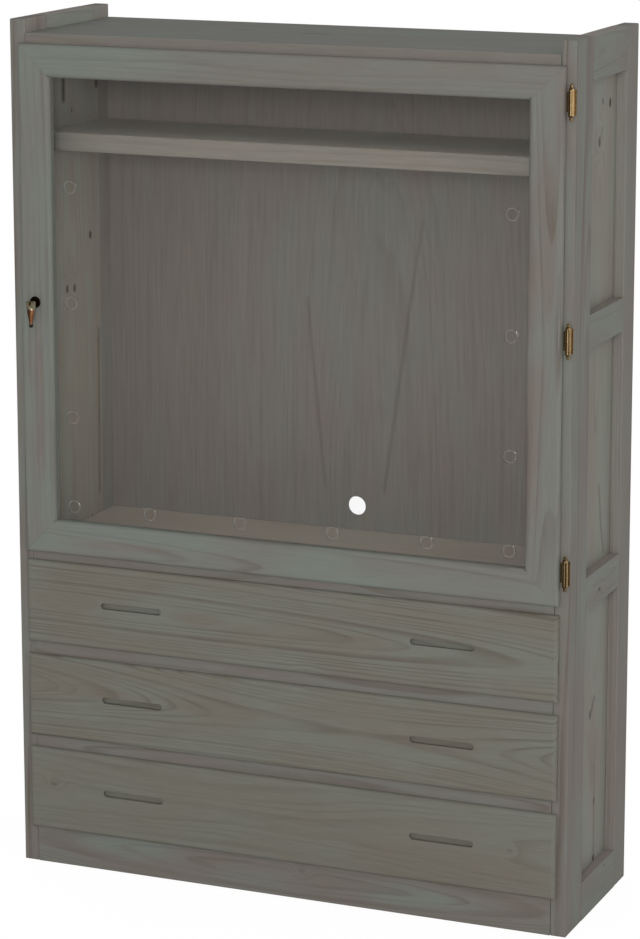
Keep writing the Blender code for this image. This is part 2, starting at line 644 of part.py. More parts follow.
def key_grip(place, axis, brass):
    """The folding grip: two cheeks on the pin, a waisted tapering handle and a round tip, hanging down."""
    x, y, z = place
    head = GRIP_HEAD / 2
    fork = KEY_EYE_WIDE / 2 + FIT
    gap = KEY_EYE / 2 + FIT
    shape = bmesh.new()
    rings = []
    wide = GRIP_WIDE / 2
    sections = [(gap, wide, head)]
    sections += [(GRIP_LONG * drop, wide * across, head * deep) for drop, across, deep in GRIP_SHARES]
    for drop, half_wide, half_deep in sections:
        points = [
            (half_wide * math.cos(a), half_deep * math.sin(a), -drop)
            for a in (2 * math.pi * i / ROUND_STEPS for i in range(ROUND_STEPS))
        ]
        rings.append([shape.verts.new(point) for point in points])
    bridge(shape, rings)
    grip = smooth(add_object("key_grip", shape, place, axis, brass))
    cheeks = []
    for side in (-1, 1):
        ends = sorted((side * fork, side * GRIP_WIDE / 2))
        cheek = turned(f"cheek_{side}", [(ends[0], head), (ends[1], head)], place, "X", axis)
        inner_x, outer_x = x + ends[0], x + ends[1]
        neck = block(f"cheek_neck_{side}", (inner_x, y - head, z - gap - head), (outer_x, y + head, z), axis)
        join(cheek, neck)
        cheeks.append(cheek)
    pin_half = GRIP_PIN_LONG / 2
    pin = turned("grip_pin", [(-pin_half, GRIP_PIN / 2), (pin_half, GRIP_PIN / 2)], place, "X", axis)
    ball = GRIP_TIP / 2
    ball_middle = -GRIP_LONG - ball / 2
    ball_profile = [(ball_middle + a, b) for a, b in arc((0, 0), ball, 170, 10, TIP_STEPS)]
    tip = turned("grip_tip", ball_profile, place, "Z", axis)
    join(grip, *cheeks, pin, tip)


def main():
    clear_scene()
    pine = material("stained_pine", (0.150, 0.152, 0.128), 0.55)
    drawer_pine = material("drawer_pine", (0.52, 0.39, 0.24), 0.6)
    ply = material("stained_plywood", (0.128, 0.118, 0.104), 0.6)
    hardwood = material("runner_hardwood", (0.42, 0.29, 0.17), 0.5)
    acrylic = material("clear_acrylic", (0.90, 0.92, 0.91), 0.05, 0.0, 1.0)
    brass = material("polished_brass", (0.72, 0.52, 0.24), 0.2, 1.0)
    dark_metal = material("dark_bronze", (0.035, 0.028, 0.024), 0.3, 1.0)
    steel = material("zinc_steel", (0.55, 0.55, 0.54), 0.35, 1.0)

    cabinet = axis_empty("cabinet", (0, 0, 0))
    cabinet.location = (0, FRONT_PLANE, 0)
    carcass(cabinet, pine, ply)
    for i, word in enumerate(("bottom", "middle", "top")):
        drawer(i, word, cabinet, pine, drawer_pine, ply, hardwood)
    door_axis = door(cabinet, pine, acrylic)
    hinge_places = (
        ("bottom", DOOR_BOTTOM + HINGE_FROM_END), ("middle", DOOR_MIDDLE), ("top", DOOR_TOP - HINGE_FROM_END),
    )
    for word, z in hinge_places:
        hinge(word, z, cabinet, door_axis, brass)
    lock(cabinet, door_axis, brass, dark_metal, steel)


main()
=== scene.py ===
import json
import math

import bmesh
import bpy
from mathutils import Euler, Matrix, Vector


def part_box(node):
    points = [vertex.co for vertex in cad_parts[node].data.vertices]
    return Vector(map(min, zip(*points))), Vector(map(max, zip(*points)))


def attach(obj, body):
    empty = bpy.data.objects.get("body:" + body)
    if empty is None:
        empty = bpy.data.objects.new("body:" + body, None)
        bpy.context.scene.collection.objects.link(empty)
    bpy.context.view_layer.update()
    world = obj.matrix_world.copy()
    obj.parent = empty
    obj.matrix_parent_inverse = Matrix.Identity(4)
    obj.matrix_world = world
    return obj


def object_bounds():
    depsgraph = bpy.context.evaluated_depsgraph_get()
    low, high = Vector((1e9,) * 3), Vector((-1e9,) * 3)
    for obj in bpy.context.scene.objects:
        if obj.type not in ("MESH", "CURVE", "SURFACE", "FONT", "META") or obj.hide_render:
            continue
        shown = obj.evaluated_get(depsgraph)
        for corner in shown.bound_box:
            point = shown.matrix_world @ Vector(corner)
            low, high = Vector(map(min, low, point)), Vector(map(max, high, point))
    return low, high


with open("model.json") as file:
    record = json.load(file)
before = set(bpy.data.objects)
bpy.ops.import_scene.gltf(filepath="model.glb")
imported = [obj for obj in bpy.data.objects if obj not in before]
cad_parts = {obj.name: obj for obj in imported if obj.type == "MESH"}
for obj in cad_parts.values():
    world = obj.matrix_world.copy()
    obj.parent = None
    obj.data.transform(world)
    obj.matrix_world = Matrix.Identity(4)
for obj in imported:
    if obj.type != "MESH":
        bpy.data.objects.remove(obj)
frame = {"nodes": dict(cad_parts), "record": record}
cad_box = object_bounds()

# Side frames. Each side is two full-height stiles and four rails of solid pine, 30 mm thick, with
# one panel let into their inner faces. All of the pine is stained grey-green and lacquered matt,
# so the soft early wood stays greenish and the hard late wood goes browner.
MM = 0.001
X, Y, Z = 0, 1, 2


def colour(hex_value):
    """An sRGB hex value as the linear colour that a shader takes."""
    shares = [int(hex_value[i : i + 2], 16) / 255 for i in (1, 3, 5)]
    linear = [s / 12.92 if s <= 0.04045 else ((s + 0.055) / 1.055) ** 2.4 for s in shares]
    return (*linear, 1.0)


def add(tree, kind, inputs=None, output=0, **settings):
    """Adds a node, with a value or a link for each input named, and gives one of its outputs."""
    made = tree.nodes.new(kind)
    for name, value in settings.items():
        setattr(made, name, value)
    for socket, value in (inputs or {}).items():
        if isinstance(value, bpy.types.NodeSocket):
            tree.links.new(value, made.inputs[socket])
        else:
            made.inputs[socket].default_value = value
    return made.outputs[output] if len(made.outputs) else made


def new_material(name):
    """An empty material and its node tree."""
    made = bpy.data.materials.new(name)
    made.use_nodes = True
    made.node_tree.nodes.clear()
    return made, made.node_tree


# The stain's colours: early wood where it took green, early wood where it took brown, late wood,
# and knots.
STAINED = {"green": "#727770", "brown": "#726C66", "late": "#615850", "knot": "#3A332E"}
INSIDE_PAINTED_LIGHT = 1.5  # how much lighter the sides' inner faces are drawn, as painted light for light that doesn't reach in there, fitted to the photograph
SKIN = 0.6  # mm under a face, within which such a difference fades out


def sawn_wood(name, node, run, face, tones, **figure):
    """Sawn solid wood, as growth rings about a heart that runs beside the board.

    run is the axis along the grain and face the axis through the board. The figure is in
    millimetres from the board's middle. heart is the tree's heart (across, into the face), drift
    and dive its slopes and bow its curve, per metre, and ring one year's growth. knots lists
    (along, across, radius, darkness), pitch lists dark streaks (along, across, along, across,
    width, darkness), and took lists ovals (along, across, half length, half width, more brown).
    brown is the least and the most of the brown stain, contrast how dark the late wood is, and
    fibre the width of a fibre and how much it shades. faces lists the faces drawn unlike the rest
    (axis, side, how much lighter, more brown). How much lighter is painted light: it is fitted to
    the photograph's brightness and stands in for light that reaches in there and doesn't here, so
    it isn't a known property of the stain. More brown moves the face towards the brown tone.
    """
    figure = {
        "heart": (0, 45), "drift": 0, "dive": 0, "bow": 0, "ring": 8, "wander": 22, "seed": 0,
        "contrast": 0.7, "brown": (0.2, 0.8), "fibre": (2.0, 0.06), "knots": (), "pitch": (),
        "took": (), "faces": (), **figure,
    }
    made, tree = new_material(name)
    low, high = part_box(node)
    across = X + Y + Z - run - face
    place = add(tree, "ShaderNodeTexCoord", output="Object")
    place = add(tree, "ShaderNodeVectorMath", {0: place, 1: (low + high) / 2}, operation="SUBTRACT")
    place = add(tree, "ShaderNodeVectorMath", {0: place, "Scale": 1 / MM}, operation="SCALE")
    parts = add(tree, "ShaderNodeSeparateXYZ", {0: place}).node.outputs
    board = add(tree, "ShaderNodeCombineXYZ", {0: parts[run], 1: parts[across], 2: parts[face]})
    seed = figure["seed"] * Vector((37, 11, 23))

    # Noise in the board, stretched along the grain.
    def grain(stretch, size, detail, output="Fac"):
        inputs = {0: board, 1: (1 / stretch, 1, 1), 2: seed}
        squeezed = add(tree, "ShaderNodeVectorMath", inputs, operation="MULTIPLY_ADD")
        inputs = {"Vector": squeezed, "Scale": 1 / size, "Detail": detail}
        return add(tree, "ShaderNodeTexNoise", inputs, output)

    # The distance from the heart. The heart wanders, so the rings are never quite round.
    side, depth = figure["heart"]
    wander = figure["wander"]
    square = add(tree, "ShaderNodeMath", {0: parts[run], 1: parts[run]}, operation="MULTIPLY")
    terms = (
        (parts[run], (0, -figure["drift"] * MM, -figure["dive"] * MM)),
        (square, (0, 0, -figure["bow"] * MM * MM)),
        (grain(7, 90, 1.5, "Color"), (0, wander, wander)),
    )
    from_heart = board
    for value, factor in terms:
        from_heart = add(
            tree, "ShaderNodeVectorMath", {0: value, 1: factor, 2: from_heart}, operation="MULTIPLY_ADD"
        )
    heart = (0, side + wander / 2, depth + wander / 2)
    from_heart = add(tree, "ShaderNodeVectorMath", {0: from_heart, 1: heart}, operation="SUBTRACT")
    from_heart = add(tree, "ShaderNodeVectorMath", {0: from_heart, 1: (0, 1, 1)}, operation="MULTIPLY")
    radius = add(tree, "ShaderNodeVectorMath", {0: from_heart}, "Value", operation="LENGTH")

    # Nearness to a point of the face: 1 within the inner reach and 0 past the outer one.
    def nearness(centre, reach, inner=0.0, outer=1.0, most=1.0):
        apart = add(tree, "ShaderNodeVectorMath", {0: board, 1: (*centre, 0)}, operation="SUBTRACT")
        shares = (1 / reach[0], 1 / reach[1], 0)
        apart = add(tree, "ShaderNodeVectorMath", {0: apart, 1: shares}, operation="MULTIPLY")
        apart = add(tree, "ShaderNodeVectorMath", {0: apart}, "Value", operation="LENGTH")
        inputs = {"Value": apart, "From Min": outer, "From Max": inner, "To Max": most}
        return add(tree, "ShaderNodeMapRange", inputs, interpolation_type="SMOOTHSTEP")

    # Rings bend round a knot, which is drawn out along the grain. Pitch is a thin dark streak.
    dark = 0.0
    for knot_along, knot_across, size, darkness in figure["knots"]:
        centre, reach = (knot_along, knot_across), (1.5 * size, size)
        bend = nearness(centre, reach, outer=4.0, most=1.6 * size)
        radius = add(tree, "ShaderNodeMath", {0: radius, 1: bend}, operation="ADD")
        core = nearness(centre, reach, 0.5, most=darkness)
        dark = add(tree, "ShaderNodeMath", {0: dark, 1: core}, operation="MAXIMUM")
    for *start, end_along, end_across, width, darkness in figure["pitch"]:
        start, end = Vector((*start, 0)), Vector((end_along, end_across, 0))
        line = end - start
        apart = add(tree, "ShaderNodeVectorMath", {0: board, 1: start}, operation="SUBTRACT")
        inputs = {0: apart, 1: line / line.length_squared}
        share = add(tree, "ShaderNodeVectorMath", inputs, "Value", operation="DOT_PRODUCT")
        share = add(tree, "ShaderNodeClamp", {0: share})
        apart = add(tree, "ShaderNodeVectorMath", {0: share, 1: -line, 2: apart}, operation="MULTIPLY_ADD")
        apart = add(tree, "ShaderNodeVectorMath", {0: apart, 1: (1, 1, 0)}, operation="MULTIPLY")
        apart = add(tree, "ShaderNodeVectorMath", {0: apart}, "Value", operation="LENGTH")
        inputs = {"Value": apart, "From Min": width, "From Max": 0.0, "To Max": darkness}
        streak = add(tree, "ShaderNodeMapRange", inputs, interpolation_type="SMOOTHSTEP")
        dark = add(tree, "ShaderNodeMath", {0: dark, 1: streak}, operation="MAXIMUM")

    # A year's growth: pale early wood that darkens slowly into late wood and then ends sharply.
    # No two years are alike, so a slow noise across the rings makes some wide and some narrow.
    years = add(tree, "ShaderNodeMath", {0: radius, 1: figure["ring"]}, operation="DIVIDE")
    inputs = {"W": years, "Scale": 0.45, "Detail": 0.0}
    uneven = add(tree, "ShaderNodeTexNoise", inputs, noise_dimensions="1D")
    years = add(tree, "ShaderNodeMath", {0: uneven, 1: 2.2, 2: years}, operation="MULTIPLY_ADD")
    year = add(tree, "ShaderNodeMath", {0: years}, operation="FRACT")
    inputs = {"Value": year, "From Min": 0.5, "From Max": 0.93}
    rise = add(tree, "ShaderNodeMapRange", inputs, interpolation_type="SMOOTHSTEP")
    fall = add(tree, "ShaderNodeMapRange", {"Value": year, "From Min": 1.0, "From Max": 0.93})
    late = add(tree, "ShaderNodeMath", {0: rise, 1: fall}, operation="MULTIPLY")

    # The stain takes in patches. Fibres show as fine streaks: real ones are under 0.1 mm wide, and
    # they are drawn 2 mm wide or more, which is as fine as shows from across a room.
    least, most = figure["brown"]
    inputs = {"Value": grain(3.5, 70, 2.5), "From Min": 0.38, "From Max": 0.62}
    inputs.update({"To Min": least, "To Max": most})
    brown = add(tree, "ShaderNodeMapRange", inputs, interpolation_type="SMOOTHSTEP")
    for *centre, half_length, half_width, more in figure["took"]:
        oval = nearness(centre, (half_length, half_width), 0.3, 1.2, more)
        brown = add(tree, "ShaderNodeMath", {0: brown, 1: oval}, operation="ADD")
    # Each face listed in faces is drawn lighter, as painted light for shade there, and moved towards the
    # brown tone.
    shade = 1.0
    for axis, side, lighter, more in figure["faces"]:
        half = (high - low)[axis] / 2 / MM
        depth = add(tree, "ShaderNodeMath", {0: parts[axis], 1: side}, operation="MULTIPLY")
        inputs = {"Value": depth, "From Min": half - SKIN, "From Max": half - SKIN / 2}
        there = add(tree, "ShaderNodeMapRange", inputs)
        brown = add(tree, "ShaderNodeMath", {0: there, 1: more, 2: brown}, operation="MULTIPLY_ADD")
        shade = add(tree, "ShaderNodeMath", {0: there, 1: lighter - 1, 2: shade}, operation="MULTIPLY_ADD")
    brown = add(tree, "ShaderNodeClamp", {0: brown})
    inputs = {0: brown, 6: colour(tones["green"]), 7: colour(tones["brown"])}
    early = add(tree, "ShaderNodeMix", inputs, 2, data_type="RGBA")
    contrast = figure["contrast"]
    inputs = {"Value": grain(5, 40, 1.0), "From Min": 0.35, "From Max": 0.65}
    inputs.update({"To Min": 0.35 * contrast, "To Max": contrast})
    strength = add(tree, "ShaderNodeMapRange", inputs)
    line = add(tree, "ShaderNodeMath", {0: late, 1: strength}, operation="MULTIPLY")
    wood = add(tree, "ShaderNodeMix", {0: line, 6: early, 7: colour(tones["late"])}, 2, data_type="RGBA")
    if figure["knots"] or figure["pitch"]:
        wood = add(tree, "ShaderNodeMix", {0: dark, 6: wood, 7: colour(tones["knot"])}, 2, data_type="RGBA")
    width, shading = figure["fibre"]
    fibre = grain(26, width, 3.0)
    inputs = {"Value": fibre, "From Min": 0.3, "From Max": 0.7, "To Min": 1 - shading, "To Max": 1 + shading}
    streak = add(tree, "ShaderNodeMapRange", inputs)
    shade = add(tree, "ShaderNodeMath", {0: streak, 1: shade}, operation="MULTIPLY")
    wood = add(tree, "ShaderNodeVectorMath", {0: wood, "Scale": shade}, operation="SCALE")

    # Matt lacquer sinks a little over the early wood, and late wood and fibres stand up under it.
    rough = add(tree, "ShaderNodeMapRange", {"Value": late, "To Min": 0.66, "To Max": 0.56})
    relief = add(tree, "ShaderNodeMath", {0: late, 1: 0.6, 2: fibre}, operation="MULTIPLY_ADD")
    bump = add(tree, "ShaderNodeBump", {"Height": relief, "Strength": 0.35, "Distance": 0.15 * MM})
    surface = add(tree, "ShaderNodeBsdfPrincipled", {
        "Base Color": wood, "Roughness": rough, "Normal": bump, "IOR": 1.5, "Specular IOR Level": 0.2,
    })
    add(tree, "ShaderNodeOutputMaterial", {"Surface": surface})
    return made


def dress(node, material):
    """Gives a CAD node its finish."""
    for place in frame["nodes"][node].material_slots:
        place.material = material


LEDGE = (Z, 1, 1.4, 0.8)  # a rail's top edge, drawn lighter as painted light for the recess's shade, and browner, fitted to the photograph
side_boards = {
    # piece: grain, the edge beside the panel, drawn lighter as painted light for the recess's shade, figure
    "front_stile": (Z, (Y, 1, 1.3, 0.0), dict(
        heart=(34, 60), dive=14, ring=9, contrast=0.95, brown=(0.3, 1.0),
    )),
    "rear_stile": (Z, (Y, -1, 1.3, 0.0), dict(
        heart=(-22, 58), dive=-10, ring=9, contrast=0.4, brown=(0.6, 1.0),
    )),
    "bottom_rail": (Y, LEDGE, dict(heart=(-12, 36), bow=260, ring=7, knots=((35, 28, 4, 0.5),))),
    "lower_rail": (Y, LEDGE, dict(heart=(6, 30), bow=300, ring=7, knots=((-21, -8, 5, 0.8),))),
    "upper_rail": (Y, LEDGE, dict(heart=(-5, 36), bow=-200, ring=7)),
    "top_rail": (Y, LEDGE, dict(heart=(10, 44), dive=60, ring=8)),
}
for order, side in enumerate(("left", "right")):
    for number, (piece, (grain, edge, figure)) in enumerate(side_boards.items()):
        node = f"{side}_{piece}"
        seed = 3 + 7 * order + number
        # The inner face and the edge beside the panel are drawn lighter: painted light.
        faces = ((X, 1 if side == "left" else -1, INSIDE_PAINTED_LIGHT, 0.0), edge)
        name = f"stained pine, {node}"
        dress(node, sawn_wood(name, node, grain, X, STAINED, seed=seed, faces=faces, **figure))

# Side panels. Each is one board of knotty pine for the whole height, flush with the inside of its
# frame, so the rails show outside only. Its knots and pitch streaks are the piece's own marks.
# The panels' tones are paler than the frame's, as painted light for the shade of the recess they sit in, and
# their inner faces are drawn lighter still, also as painted light.
PANEL = {"green": "#7D8279", "brown": "#7E786F", "late": "#6B6259", "knot": "#3E312B"}
panel_figures = {
    "left": dict(
        heart=(-20, 70), dive=18, bow=10, ring=9, contrast=0.4, brown=(0.5, 1.0),
        faces=((X, 1, 1.48, 0.0),),
        knots=(
            (291, -31, 7, 0.9), (288, 0, 7, 0.9), (383, 71, 7, 1.0), (637, 0, 4, 0.8),
            (680, 106, 10, 0.9), (167, 98, 4, 0.6), (8, 96, 5, 0.5), (-187, 62, 6, 1.0),
        ),
        pitch=((662, -35, 700, -34, 13, 0.95), (188, 101, -140, 97, 9, 0.45)),
        took=((100, 92, 700, 20, 0.5),),
    ),
    "right": dict(
        heart=(10, 80), dive=-16, bow=30, ring=9, contrast=0.5, brown=(0.3, 0.8),
        faces=((X, -1, INSIDE_PAINTED_LIGHT, 0.0),),
        knots=(
            (627, 2, 9, 0.7), (699, 19, 6, 0.6), (692, 61, 8, 0.9), (-452, -2, 8, 0.7),
            (-630, 29, 7, 0.7), (-745, 30, 8, 0.9),
        ),
        pitch=(
            (-20, 30, -95, 44, 8, 0.4), (-95, 44, -150, 62, 8, 0.4), (-745, 30, -558, 29, 5, 0.45),
            (-452, -2, -425, 22, 9, 0.5), (627, 2, 650, 20, 6, 0.3),
        ),
    ),
}
for number, (side, figure) in enumerate(panel_figures.items()):
    node = f"{side}_panel"
    dress(node, sawn_wood(f"stained pine, {node}", node, Z, X, PANEL, seed=21 + number, **figure))

# Back. A sheet of pine plywood, a quarter of an inch thick, pinned into a rabbet behind the
# sides. Its sliced veneer has a long quiet figure, and the stain took it a little darker.
VENEER = {"green": "#74736C", "brown": "#766E68", "late": "#665E58", "knot": "#4F4741"}
back = sawn_wood(
    "stained plywood, back", "back_panel", Z, Y, VENEER, heart=(60, 60), dive=60, bow=70, ring=14,
    wander=50, contrast=0.35, brown=(0.3, 1.0), fibre=(4.0, 0.08), seed=31,
    pitch=(
        (290, -102, -83, -64, 6, 0.32), (456, 139, 336, 119, 6, 0.25), (336, 119, -83, 60, 6, 0.35),
    ),
    took=(
        (320, 20, 260, 200, -0.5), (400, -400, 500, 200, 0.4), (700, 0, 160, 540, 0.5),
        (-300, 0, 200, 700, -0.4),
    ),
)
dress("back_panel", back)

# Top board, television deck, shelf, toe rail and the rails between the fronts. Solid pine,
# fixed between the sides, with the grain from side to side. The deck and the shelf have paler
# tones, as painted light for the shade inside the bay, and their top faces are drawn over twice
# as light as those tones, as painted light too, fitted to the photograph as above.
PALER = {"green": "#7C8077", "brown": "#7F7870", "late": "#6C635A", "knot": "#3A332E"}
level_boards = {
    # piece: the axis through the board, tones, figure
    "top_board": (Z, STAINED, dict(
        heart=(60, 90), bow=50, contrast=0.4, brown=(0.0, 0.5),
        pitch=((-190, 30, -150, 26, 10, 0.4), (-40, 10, 10, 8, 10, 0.5)),
        faces=((Y, -1, 1.0, 1.0),),
    )),
    "tv_deck": (Z, PALER, dict(
        heart=(-50, 60), bow=40, contrast=0.5, brown=(0.9, 1.0), faces=((Z, 1, 2.2, 0.0),),
    )),
    "shelf": (Z, PALER, dict(
        heart=(30, 55), bow=-30, contrast=0.5, brown=(0.6, 1.0), faces=((Z, 1, 2.7, 0.0),),
    )),
    "deck_rail": (Y, STAINED, dict(heart=(10, 40), ring=7, brown=(0.6, 1.0))),
    "upper_drawer_rail": (Y, STAINED, dict(heart=(12, 36), bow=20, ring=7, brown=(0.6, 1.0))),
    "lower_drawer_rail": (Y, STAINED, dict(heart=(-8, 30), bow=30, ring=6, brown=(0.6, 1.0))),
    "toe_rail": (Y, STAINED, dict(
        heart=(5, 24), bow=60, ring=7, brown=(0.5, 1.0), contrast=0.5, knots=((32, 15, 6, 0.15),),
        took=((-330, 10, 120, 30, -0.6), (260, -5, 140, 30, -0.6)),
    )),
}
for number, (node, (face, tones, figure)) in enumerate(level_boards.items()):
    dress(node, sawn_wood(f"stained pine, {node}", node, X, face, tones, seed=41 + number, **figure))

# Drawers. Each front is one wide pine board, lipped at the edges, with cathedral figure; the box
# behind it is plain pine, left unstained, and its plywood bottom sits in a groove.
FRONT_PINE = {"green": "#70746B", "brown": "#6F6A61", "late": "#5D564C", "knot": "#3A332E"}
fronts = {
    "top": dict(
        heart=(-4, 25), drift=-17, dive=24, bow=22, ring=7, wander=12, contrast=0.8, brown=(0.3, 0.8),
        knots=((49, -88, 8, 0.2),),
        took=((-458, 5, 90, 18, 0.8), (-175, 0, 70, 16, 0.7), (135, -10, 110, 22, 0.7)),
    ),
    "middle": dict(
        heart=(10, 54), drift=-29, dive=22, bow=-90, ring=6, wander=12, contrast=0.65, brown=(0.3, 0.8),
        took=((-400, 20, 130, 14, 0.6), (-120, 12, 100, 14, 0.6), (300, 0, 120, 20, 0.5)),
    ),
    "bottom": dict(
        heart=(0, 90), dive=-10, bow=-40, wander=26, contrast=0.35, brown=(0.4, 0.75),
        knots=((452, 4, 5, 0.2), (-487, 11, 6, 0.25)), took=((330, -45, 200, 40, 0.6),),
    ),
}
PLAIN_PINE = {"green": "#C9A877", "brown": "#C29B68", "late": "#A67C4B", "knot": "#6B4526"}
for number, (word, figure) in enumerate(fronts.items()):
    node = f"drawer_{word}_front"
    name = f"stained pine, {word} drawer front"
    dress(node, sawn_wood(name, node, X, Y, FRONT_PINE, seed=61 + number, **figure))
    node = f"drawer_{word}_box"
    name = f"plain pine, {word} drawer box"
    dress(node, sawn_wood(name, node, Y, X, PLAIN_PINE, heart=(0, 90), seed=71 + number))
    node = f"drawer_{word}_bottom"
    name = f"plain plywood, {word} drawer bottom"
    dress(node, sawn_wood(name, node, X, Z, PLAIN_PINE, ring=12, seed=81 + number))

# Runners. A hard maple strip for each side of each drawer, fixed to the inside of the side frame
# and waxed, which the groove in the box slides along.
MAPLE = {"green": "#B89A74", "brown": "#B3926A", "late": "#9E7B52", "knot": "#5E4228"}
for number, word in enumerate(("bottom", "middle", "top")):
    for side in ("left", "right"):
        node = f"{side}_runner_{word}"
        name = f"waxed maple, {node}"
        dress(node, sawn_wood(name, node, Y, X, MAPLE, ring=3, contrast=0.4, seed=91 + number))

# Door frame. Four lipped members of the same pine, mitred and glued at the corners, whose seams
# are filled flush and stained over, so they hardly show.
door_boards = {
    # piece: grain, figure
    "door_left_stile": (Z, dict(
        heart=(-40, 60), dive=16, ring=9, wander=16, contrast=0.4, brown=(0.0, 0.5),
        took=((-190, 4, 170, 14, 0.8),),
    )),
    "door_right_stile": (Z, dict(
        heart=(12, 34), bow=-40, ring=8, wander=16, contrast=0.7, brown=(0.35, 1.0),
        took=((160, 10, 150, 12, 0.8),),
    )),
    "door_top_rail": (X, dict(
        heart=(50, 90), ring=9, contrast=0.3, brown=(0.6, 1.0),
        took=((-400, 0, 230, 60, -0.8), (480, 0, 150, 60, -0.3)),
    )),
    "door_bottom_rail": (X, dict(
        heart=(-14, 26), dive=30, ring=11, wander=16, contrast=0.5, brown=(0.0, 0.5),
        took=((-330, -6, 150, 12, 0.8),),
    )),
}
for number, (node, (grain, figure)) in enumerate(door_boards.items()):
    dress(node, sawn_wood(f"stained pine, {node}", node, grain, Y, STAINED, seed=101 + number, **figure))

# Glue lines. Each mitre is a hair open along its length, and the glue that fills it takes the
# stain as the wood does. A line stops a hair under the faces and sags a little between them.
GLUE_WIDE = 0.26 * MM
GLUE_UNDER = 0.05 * MM
GLUE_BACK = 2 * MM  # how far a line stops short of the door's rear face
GLUE_ENDS = (8 * MM, 1 * MM)  # and of its outer and its inner corner
SIGHT_X = 0.4733  # half the width of the opening that the frame leaves
SIGHT_Z = (0.6947, 1.5440)  # the opening's bottom and top, above the floor
glue_finish = sawn_wood("wood glue, stained", "door_top_rail", X, Y, STAINED, contrast=0.3, seed=111)
stile_low, stile_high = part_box("door_left_stile")
corners = (
    (-1, stile_low.z, SIGHT_Z[0]), (1, stile_low.z, SIGHT_Z[0]),
    (-1, stile_high.z, SIGHT_Z[1]), (1, stile_high.z, SIGHT_Z[1]),
)
for number, (side, outer_z, sight_z) in enumerate(corners):
    outer = Vector((-side * stile_low.x, 0, outer_z))
    inner = Vector((side * SIGHT_X, 0, sight_z))
    along = (inner - outer).normalized()
    across = Vector((-along.z, 0, along.x)) * GLUE_WIDE / 2
    front, rear = stile_low.y + GLUE_UNDER, stile_high.y - GLUE_BACK
    shape = bmesh.new()
    section = []
    for end in (outer + along * GLUE_ENDS[0], inner - along * GLUE_ENDS[1]):
        section.append([
            shape.verts.new(end + across + Vector((0, front, 0))),
            shape.verts.new(end + Vector((0, front + GLUE_UNDER, 0))),
            shape.verts.new(end - across + Vector((0, front, 0))),
            shape.verts.new(end - across + Vector((0, rear, 0))),
            shape.verts.new(end + across + Vector((0, rear, 0))),
        ])
    first, last = section
    for i in range(len(first)):
        shape.faces.new((first[i - 1], first[i], last[i], last[i - 1]))
    shape.faces.new(first)
    shape.faces.new(last)
    bmesh.ops.recalc_face_normals(shape, faces=shape.faces)
    glue_mesh = bpy.data.meshes.new(f"mitre_glue_{number + 1}")
    shape.to_mesh(glue_mesh)
    shape.free()
    glue_mesh.materials.append(glue_finish)
    glue = bpy.data.objects.new(glue_mesh.name, glue_mesh)
    bpy.context.scene.collection.objects.link(glue)
    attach(glue, "door")

# Glazing. A clear cast acrylic sheet, 3 mm thick, held in a groove round the frame. Its faces are
# polished, so it mirrors a little and tints nothing. Shadow and diffuse rays go straight through,
# so the bay behind it is lit as if it were open.
acrylic, tree = new_material("cast acrylic, polished")
sheet = add(tree, "ShaderNodeBsdfPrincipled", {
    "Base Color": colour("#FDFEFD"), "Roughness": 0.0, "IOR": 1.49, "Transmission Weight": 1.0,
})
paths = add(tree, "ShaderNodeLightPath").node.outputs
inputs = {0: paths["Is Shadow Ray"], 1: paths["Is Diffuse Ray"]}
lets_through = add(tree, "ShaderNodeMath", inputs, operation="MAXIMUM")
clear = add(tree, "ShaderNodeBsdfTransparent", {"Color": (1.0, 1.0, 1.0, 1.0)})
sheet = add(tree, "ShaderNodeMixShader", {0: lets_through, 1: sheet, 2: clear})
add(tree, "ShaderNodeOutputMaterial", {"Surface": sheet})
dress("door_glazing", acrylic)

# Vent holes. An inch across, drilled along the edges of the sheet. The drill leaves the wall of
# each hole matt, so it shows as a pale frosted ring. Its score marks are drawn about ten times as
# wide as real ones, which wouldn't show.
HOLE_RADIUS = 12.7 * MM
RIM = 2.6 * MM
RIM_CLEAR = 0.1 * MM
RIM_STEPS = 48
frosted, tree = new_material("cast acrylic, drilled edge")
place = add(tree, "ShaderNodeTexCoord", output="Object")
scored = add(tree, "ShaderNodeTexNoise", {"Vector": place, "Scale": 1 / (0.8 * MM), "Detail": 2.0})
milky = add(tree, "ShaderNodeMapRange", {"Value": scored, "To Min": 0.65, "To Max": 0.95})
shade = add(tree, "ShaderNodeBsdfPrincipled", {
    "Base Color": colour("#D8DCD8"), "Roughness": 0.55, "IOR": 1.49, "Alpha": 0.07,
    "Normal": add(tree, "ShaderNodeBump", {"Height": milky, "Strength": 0.4, "Distance": 0.2 * MM}),
})
add(tree, "ShaderNodeOutputMaterial", {"Surface": shade})
sheet_low, sheet_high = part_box("door_glazing")
holes = [o for o in frame["record"]["physics"]["openings"] if o["name"].startswith("vent_")]
for number, hole in enumerate(holes):
    low, high = (Vector(corner) for corner in hole["box_m"])
    shape = bmesh.new()
    corners = (
        (HOLE_RADIUS - RIM_CLEAR, sheet_low.y), (HOLE_RADIUS - RIM_CLEAR, sheet_high.y),
        (HOLE_RADIUS - RIM, sheet_high.y - RIM / 2), (HOLE_RADIUS - RIM, sheet_low.y + RIM / 2),
    )
    section = [shape.verts.new((x, y, 0)) for x, y in corners]
    outline = [shape.edges.new((section[i - 1], section[i])) for i in range(len(section))]
    bmesh.ops.spin(shape, geom=section + outline, axis=(0, 1, 0), steps=RIM_STEPS, angle=math.tau)
    bmesh.ops.remove_doubles(shape, verts=shape.verts, dist=0.01 * MM)
    bmesh.ops.recalc_face_normals(shape, faces=shape.faces)
    bmesh.ops.translate(shape, verts=shape.verts, vec=((low.x + high.x) / 2, 0, (low.z + high.z) / 2))
    ring_mesh = bpy.data.meshes.new(f"vent_rim_{number + 1}")
    shape.to_mesh(ring_mesh)
    shape.free()
    ring_mesh.materials.append(frosted)
    ring = bpy.data.objects.new(ring_mesh.name, ring_mesh)
    bpy.context.scene.collection.objects.link(ring)
    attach(ring, "door")

